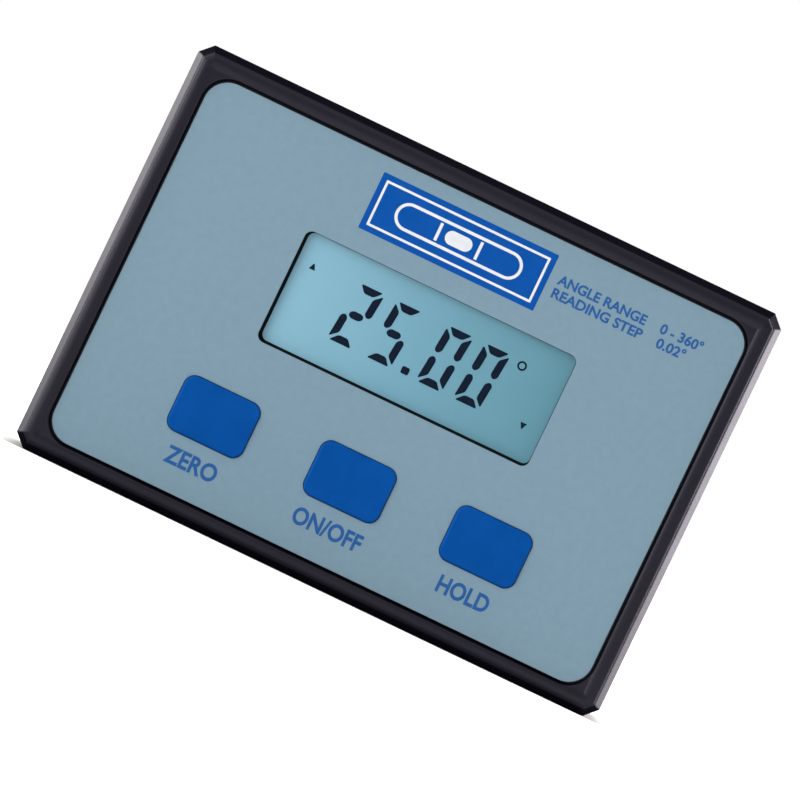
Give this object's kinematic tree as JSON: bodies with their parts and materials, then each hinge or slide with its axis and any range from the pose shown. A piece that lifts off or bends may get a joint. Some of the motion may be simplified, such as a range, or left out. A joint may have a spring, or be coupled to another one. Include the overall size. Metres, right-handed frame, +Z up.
{
  "type": "digital spirit level",
  "caption": "Pocket digital spirit level: black metal frame with four measuring faces, display, three keys and a pendulum tilt sensor inside",
  "frame": {"origin": "middle of the bottom measuring face, under the centre of the bounding box", "axes": "+Z up, +X along the base to the right as seen from the front, the display faces -Y"},
  "size_m": [0.102, 0.032, 0.0705],
  "materials": {
    "black_anodised": "semi-gloss black anodised",
    "panel_plate": "moulded, fine texture",
    "panel_print": "satin printed film",
    "key_blue": "satin, rounded edges",
    "lcd_film": "clear glossy film",
    "lcd_glass": "clear float glass",
    "lcd_mirror_film": "pearly reflecting film",
    "holder_white": "moulded",
    "zebra_rubber": "layered conductive rubber",
    "board_green": "solder mask over glass laminate",
    "steel_screw": "zinc plated",
    "black_screw": "black oxide",
    "switch_black": "moulded",
    "switch_steel": "stamped sheet",
    "plunger_black": "moulded",
    "chip_black": "moulded epoxy",
    "tinned_lead": "tinned",
    "crystal_can": "drawn can",
    "capacitor_aluminium": "drawn can",
    "resistor_ceramic": "glazed",
    "sensor_aluminium": "turned, clear anodised",
    "sensor_board": "solder mask",
    "gold_pin": "gold plated",
    "bearing_steel": "ground",
    "magnet_nickel": "nickel plated",
    "weight_brass": "turned",
    "rotor_aluminium": "turned",
    "cover_black": "moulded, fine spark texture",
    "battery_jacket": "painted metal jacket, plain",
    "contact_nickel": "nickel plated",
    "snap_black": "soft vinyl",
    "lead_red": "vinyl insulation",
    "lead_black": "vinyl insulation",
    "foam_grey": "closed-cell foam",
    "connector_white": "moulded nylon"
  },
  "bodies": {
    "housing": {"frame": "black_anodised", "base_magnets": "magnet_nickel", "front_plate": "panel_plate", "front_overlay": "panel_print", "lcd_polarizer": "lcd_film", "lcd_front_glass": "lcd_glass", "lcd_rear_glass": "lcd_glass", "lcd_reflector": "lcd_mirror_film", "lcd_holder": "holder_white", "zebra_strips": "zebra_rubber", "circuit_board": "board_green", "board_screws": "steel_screw", "switch_bases": "switch_black", "switch_covers": "switch_steel", "processor": "chip_black", "processor_leads": "tinned_lead", "amplifier": "chip_black", "amplifier_leads": "tinned_lead", "crystal": "crystal_can", "capacitor_bases": "switch_black", "capacitor_cans": "capacitor_aluminium", "chip_resistors": "resistor_ceramic", "sensor_cup": "sensor_aluminium", "sensor_lid": "sensor_aluminium", "sensor_screws": "steel_screw", "damping_magnets": "magnet_nickel", "stator_board": "sensor_board", "sensor_pins": "gold_pin", "front_bearing": "bearing_steel", "rear_bearing": "bearing_steel", "rear_cover": "cover_black", "cover_screws": "black_screw", "battery": "battery_jacket", "battery_terminals": "contact_nickel", "snap_contacts": "contact_nickel", "battery_snap": "snap_black", "battery_foam": "foam_grey", "lead_connector": "connector_white", "battery_lead_red": "lead_red", "battery_lead_black": "lead_black"},
    "zero_button": {"zero_key": "key_blue", "zero_plunger": "plunger_black"},
    "on_off_button": {"on_off_key": "key_blue", "on_off_plunger": "plunger_black"},
    "hold_button": {"hold_key": "key_blue", "hold_plunger": "plunger_black"},
    "pendulum": {"pendulum_shaft": "bearing_steel", "rotor_disc": "rotor_aluminium", "pendulum_weight": "weight_brass", "pendulum_collar": "bearing_steel"},
    "door": {"battery_door": "cover_black"}
  },
  "joints": [
    {"name": "zero_press", "type": "slide", "parent": "housing", "child": "zero_button", "axis": [0, 1, 0], "range_m": [0, 0.0005], "stiffness_N_per_m": 2000, "springref_m": -0.0002},
    {"name": "on_off_press", "type": "slide", "parent": "housing", "child": "on_off_button", "axis": [0, 1, 0], "range_m": [0, 0.0005], "stiffness_N_per_m": 2000, "springref_m": -0.0002},
    {"name": "hold_press", "type": "slide", "parent": "housing", "child": "hold_button", "axis": [0, 1, 0], "range_m": [0, 0.0005], "stiffness_N_per_m": 2000, "springref_m": -0.0002},
    {"name": "pendulum_swing", "type": "hinge", "parent": "housing", "child": "pendulum", "pos_m": [-0.021, 0, 0.03525], "axis": [0, 1, 0], "continuous": true},
    {"name": "door_slide", "type": "slide", "parent": "housing", "child": "door", "axis": [0, 0, 1], "range_m": [0, 0.064]}
  ]
}
